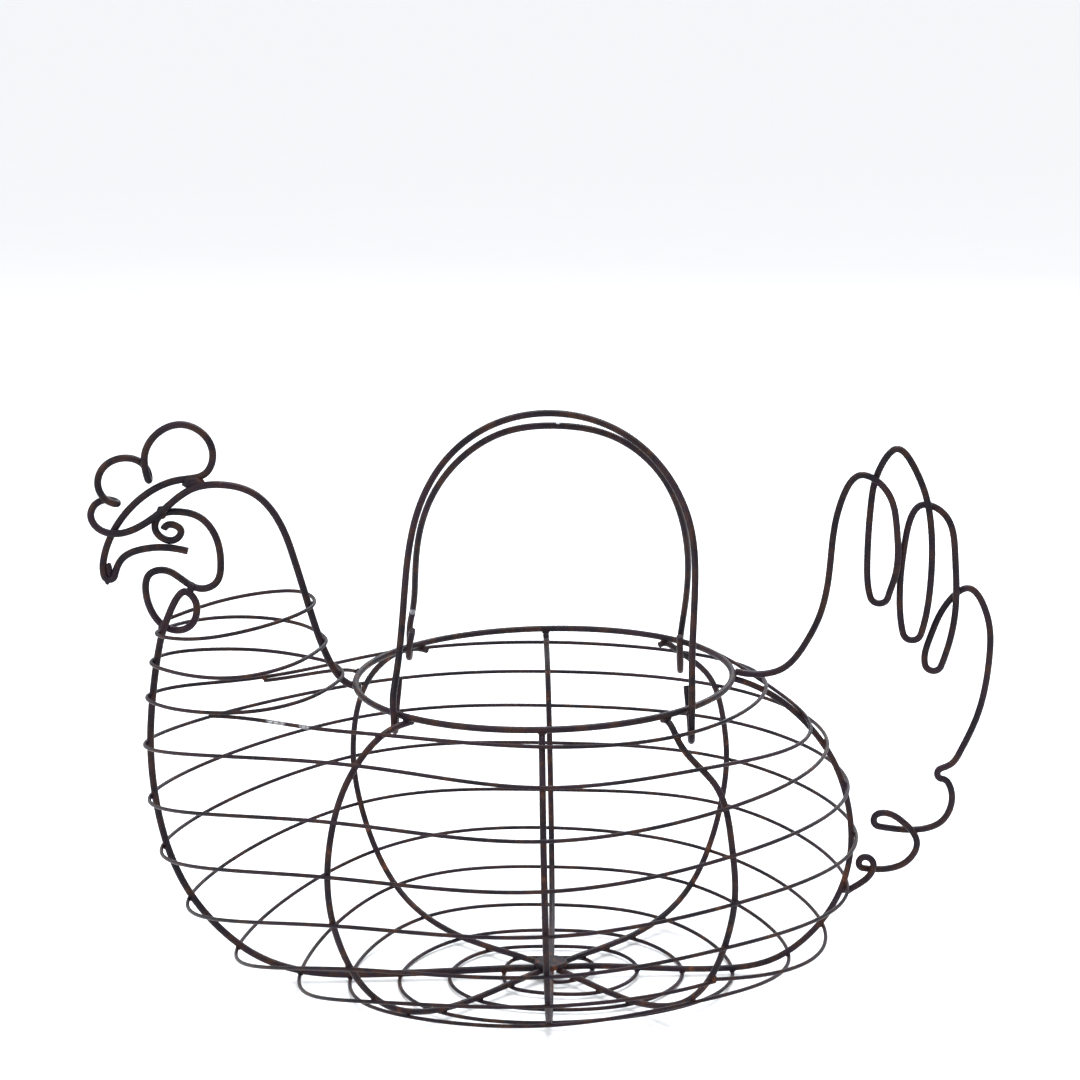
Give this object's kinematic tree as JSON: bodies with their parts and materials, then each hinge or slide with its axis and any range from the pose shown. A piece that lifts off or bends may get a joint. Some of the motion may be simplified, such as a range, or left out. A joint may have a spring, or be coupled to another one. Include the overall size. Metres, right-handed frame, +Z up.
{
  "type": "wire egg basket",
  "caption": "Hen-shaped wire egg basket: a bowl of welded ribs wound with thin wire, an outlined head, looped tail feathers and a pair of hinged bail handles.",
  "frame": {"origin": "on the surface the basket stands on, under the centre of the round rim", "axes": "+Z up, -X towards the head, +X towards the tail, -Y towards the front handle"},
  "size_m": [0.3693, 0.2186, 0.2435],
  "materials": {
    "frame_wire": "dark brown-black patina with rust-brown patches",
    "figure_wire": "dark patina, satin",
    "winding_wire": "dark patina, satin",
    "handle_wire": "dark patina, satin, worn on top",
    "button": "dark patina, rough and speckled"
  },
  "bodies": {
    "basket": {"rim_ring": "frame_wire", "front_right_rib": "frame_wire", "front_rib": "frame_wire", "front_left_rib": "frame_wire", "back_left_rib": "frame_wire", "back_rib": "frame_wire", "back_right_rib": "frame_wire", "tail_rib": "frame_wire", "centre_button": "button", "head_wire": "figure_wire", "face_and_breast_wire": "figure_wire", "tail_feather_wire": "figure_wire", "neck_winding": "winding_wire", "shoulder_winding": "winding_wire", "neck_tie": "winding_wire", "belly_winding_1": "winding_wire", "belly_winding_2": "winding_wire", "belly_winding_3": "winding_wire", "belly_winding_4": "winding_wire", "belly_winding_5": "winding_wire", "base_winding_1": "winding_wire", "base_winding_2": "winding_wire", "base_winding_3": "winding_wire", "base_winding_4": "winding_wire", "base_winding_5": "winding_wire"},
    "front_bail": {"front_handle": "handle_wire"},
    "back_bail": {"back_handle": "handle_wire"}
  },
  "joints": [
    {"name": "front_handle_swing", "type": "hinge", "parent": "basket", "child": "front_bail", "pos_m": [0, -0.05083, 0.1322], "axis": [1, 0, 0], "range_deg": [0, 70]},
    {"name": "back_handle_swing", "type": "hinge", "parent": "basket", "child": "back_bail", "pos_m": [0, 0.05083, 0.1322], "axis": [-1, 0, 0], "range_deg": [0, 70]}
  ]
}
